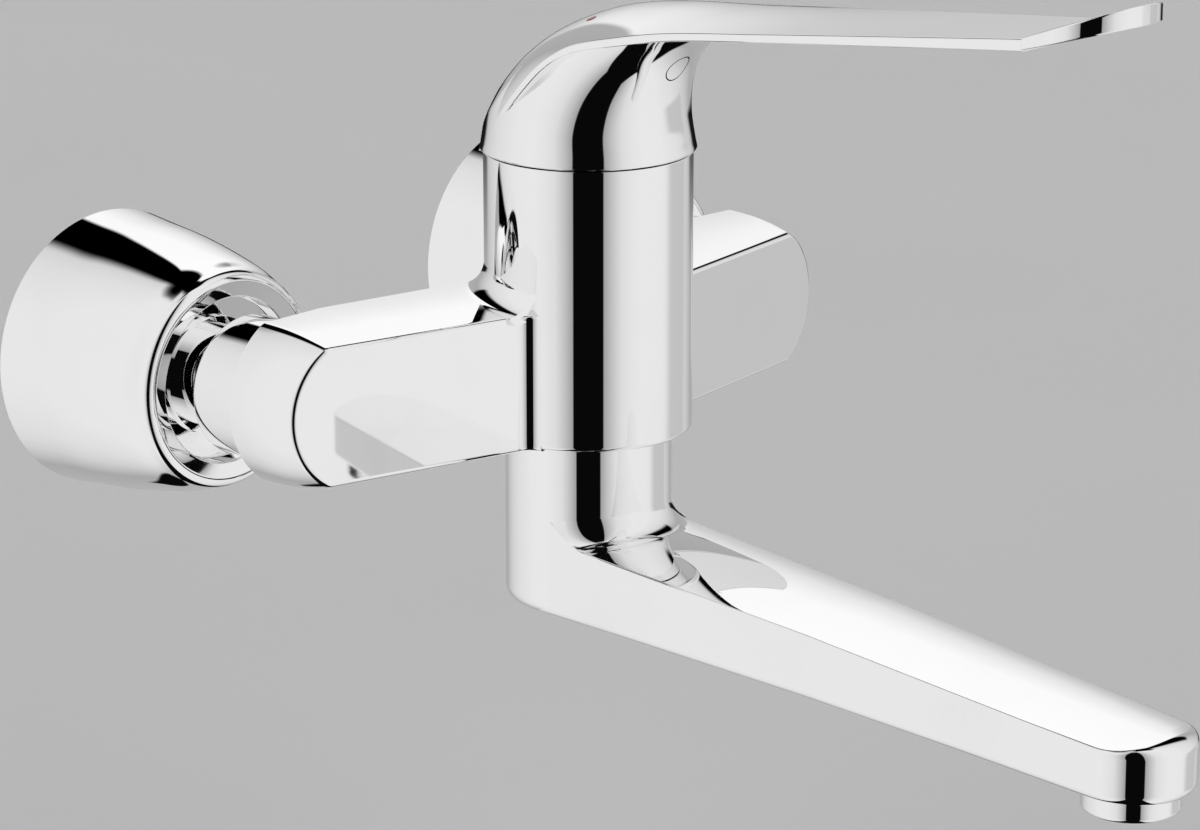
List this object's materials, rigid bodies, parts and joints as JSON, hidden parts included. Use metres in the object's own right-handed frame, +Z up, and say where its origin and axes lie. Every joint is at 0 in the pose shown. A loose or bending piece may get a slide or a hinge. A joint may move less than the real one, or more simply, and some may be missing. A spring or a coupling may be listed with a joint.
{
  "type": "elbow lever tap",
  "caption": "Wall-mounted elbow lever mixer with a cylindrical body on two swept arms, bell escutcheons, a long low swivel spout and a long lever with a turned-up tip.",
  "frame": {"origin": "on the wall plane, midway between the two inlets, at the inlets' height", "axes": "+Z up, +Y into the wall, +X towards the cold inlet on the right of a user who faces the wall; the spout and the lever point along -Y at rest"},
  "size_m": [0.222, 0.3087, 0.1919],
  "materials": {
    "polished_body": "mirror polished plating",
    "polished_spout": "mirror polished plating",
    "polished_lever": "mirror polished plating",
    "polished_trim": "mirror polished plating",
    "turned_brass": "turned",
    "steel_screw": "machined",
    "black_rubber": "moulded",
    "white_plastic": "moulded",
    "grey_plastic": "moulded",
    "ceramic_disc": null,
    "red_mark": "filled colour",
    "blue_mark": "filled colour"
  },
  "bodies": {
    "mixer_body_group": {"mixer_body": "polished_body", "spout_nipple": "turned_brass", "nipple_seal": "black_rubber", "slide_ring": "white_plastic", "upper_spout_o_ring": "black_rubber", "lower_spout_o_ring": "black_rubber", "cartridge_seal": "black_rubber", "cartridge_base": "white_plastic", "fixed_disc": "ceramic_disc", "cartridge_housing": "white_plastic", "clamp_nut": "turned_brass", "pivot_cover": "polished_trim", "escutcheon_left": "polished_trim", "s_union_left": "polished_trim", "union_nut_left": "polished_trim", "inlet_nipple_left": "turned_brass", "sealing_washer_left": "black_rubber", "strainer_left": "steel_screw", "escutcheon_right": "polished_trim", "s_union_right": "polished_trim", "union_nut_right": "polished_trim", "inlet_nipple_right": "turned_brass", "sealing_washer_right": "black_rubber", "strainer_right": "steel_screw"},
    "rotor_group": {"cartridge_rotor": "white_plastic", "stem_pin": "steel_screw"},
    "lever_group": {"lever": "polished_lever", "cartridge_stem": "turned_brass", "lever_set_screw": "steel_screw", "lever_screw_plug": "grey_plastic", "hot_mark": "red_mark", "cold_mark": "blue_mark"},
    "disc_group": {"moving_disc": "ceramic_disc", "disc_driver": "white_plastic"},
    "spout_group": {"spout": "polished_spout", "spout_grub_screw": "steel_screw", "aerator_housing": "polished_trim", "aerator_insert": "grey_plastic", "aerator_washer": "black_rubber"}
  },
  "joints": [
    {"name": "lever_turn", "type": "hinge", "parent": "mixer_body_group", "child": "rotor_group", "pos_m": [0, -0.101, 0.0441], "axis": [0, 0, 1], "range_deg": [-45, 45]},
    {"name": "lever_lift", "type": "hinge", "parent": "rotor_group", "child": "lever_group", "pos_m": [0, -0.101, 0.0441], "axis": [-1, 0, 0], "range_deg": [0, 25]},
    {"name": "disc_slide", "type": "slide", "parent": "rotor_group", "child": "disc_group", "axis": [0, -1, 0], "range_m": [0, 0.0062]},
    {"name": "spout_swivel", "type": "hinge", "parent": "mixer_body_group", "child": "spout_group", "pos_m": [0, -0.101, -0.0176], "axis": [0, 0, 1], "range_deg": [-70, 70]}
  ],
  "couplings": [
    {"joint": "disc_slide", "follows": "lever_lift", "m_per_rad": 0.01414}
  ]
}
